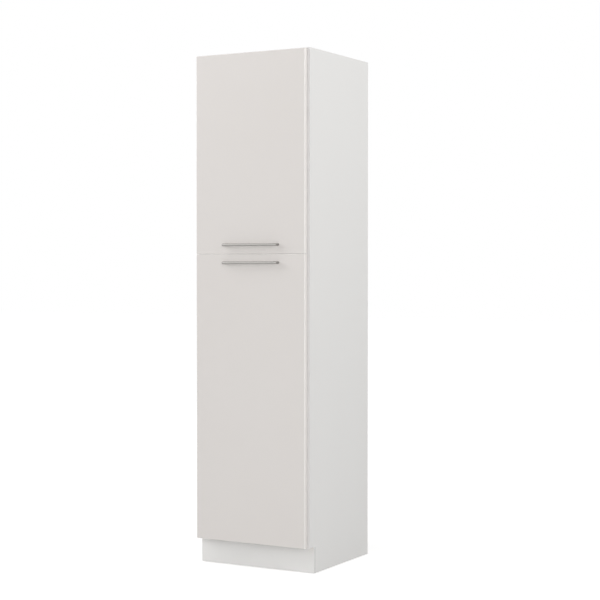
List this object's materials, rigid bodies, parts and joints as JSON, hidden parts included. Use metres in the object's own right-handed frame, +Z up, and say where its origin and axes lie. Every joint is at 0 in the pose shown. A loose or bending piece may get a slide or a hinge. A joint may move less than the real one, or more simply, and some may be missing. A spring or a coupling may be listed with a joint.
{
  "type": "fridge housing unit",
  "caption": "Tall white kitchen unit with a niche for a built-in fridge behind its lower door, a cupboard behind its upper door, bar handles and a recessed plinth.",
  "frame": {"origin": "on the floor, under the centre of the unit's bounding box, handles included", "axes": "+X to the right seen from the front, +Y to the back, +Z up"},
  "size_m": [0.6, 0.635, 2.36],
  "materials": {
    "melamine_board": "satin",
    "white_hardboard": "matte",
    "foil_wrapped_door": "satin",
    "edging_strip": "satin",
    "nickel_plated_steel": "satin",
    "zinc_plated_screws": "satin",
    "die_cast_zinc": "matte",
    "beech_dowel": "matte",
    "white_plastic_cap": "satin",
    "glide_plastic": "satin",
    "brushed_steel_bar": "satin",
    "clear_buffer": "satin"
  },
  "bodies": {
    "carcass": {"side_panel_left": "melamine_board", "side_panel_right": "melamine_board", "bottom_panel": "melamine_board", "fixed_shelf": "melamine_board", "top_panel": "melamine_board", "upper_back_panel": "white_hardboard", "rear_rail_top": "melamine_board", "rear_rail_middle": "melamine_board", "rear_rail_bottom": "melamine_board", "appliance_front_rail": "melamine_board", "adjustable_shelf": "melamine_board", "shelf_pins": "nickel_plated_steel", "front_edging": "edging_strip", "plinth_board": "melamine_board", "plinth_brackets": "nickel_plated_steel", "plinth_bracket_screws": "zinc_plated_screws", "cam_locks": "die_cast_zinc", "cam_bolts": "zinc_plated_screws", "dowels": "beech_dowel", "cam_caps": "white_plastic_cap", "floor_glides": "glide_plastic", "hinge_plate_screws": "zinc_plated_screws", "hinge_arm_screws": "zinc_plated_screws", "lower_hinge_plates": "nickel_plated_steel", "lower_hinge_arms": "nickel_plated_steel", "upper_hinge_plates": "nickel_plated_steel", "upper_hinge_arms": "nickel_plated_steel"},
    "lower_door": {"lower_door_panel": "foil_wrapped_door", "lower_handle": "brushed_steel_bar", "lower_handle_screws": "zinc_plated_screws", "lower_hinge_cups": "nickel_plated_steel", "lower_cup_screws": "zinc_plated_screws", "lower_door_buffers": "clear_buffer"},
    "upper_door": {"upper_door_panel": "foil_wrapped_door", "upper_handle": "brushed_steel_bar", "upper_handle_screws": "zinc_plated_screws", "upper_hinge_cups": "nickel_plated_steel", "upper_cup_screws": "zinc_plated_screws", "upper_door_buffers": "clear_buffer"},
    "lower_link_set": {"lower_hinge_links": "nickel_plated_steel"},
    "upper_link_set": {"upper_hinge_links": "nickel_plated_steel"}
  },
  "joints": [
    {"name": "lower_door_hinge", "type": "hinge", "parent": "carcass", "child": "lower_door", "pos_m": [0.284, -0.2675, 0.77], "axis": [0, 0, 1], "range_deg": [0, 105]},
    {"name": "upper_door_hinge", "type": "hinge", "parent": "carcass", "child": "upper_door", "pos_m": [0.284, -0.2675, 1.9], "axis": [0, 0, 1], "range_deg": [0, 105]},
    {"name": "lower_link_pivot", "type": "hinge", "parent": "carcass", "child": "lower_link_set", "pos_m": [0.27, -0.2675, 0.77], "axis": [0, 0, 1], "range_deg": [0, 210]},
    {"name": "upper_link_pivot", "type": "hinge", "parent": "carcass", "child": "upper_link_set", "pos_m": [0.27, -0.2675, 1.9], "axis": [0, 0, 1], "range_deg": [0, 210]}
  ],
  "couplings": [
    {"joint": "lower_link_pivot", "follows": "lower_door_hinge", "ratio": 2},
    {"joint": "upper_link_pivot", "follows": "upper_door_hinge", "ratio": 2}
  ]
}
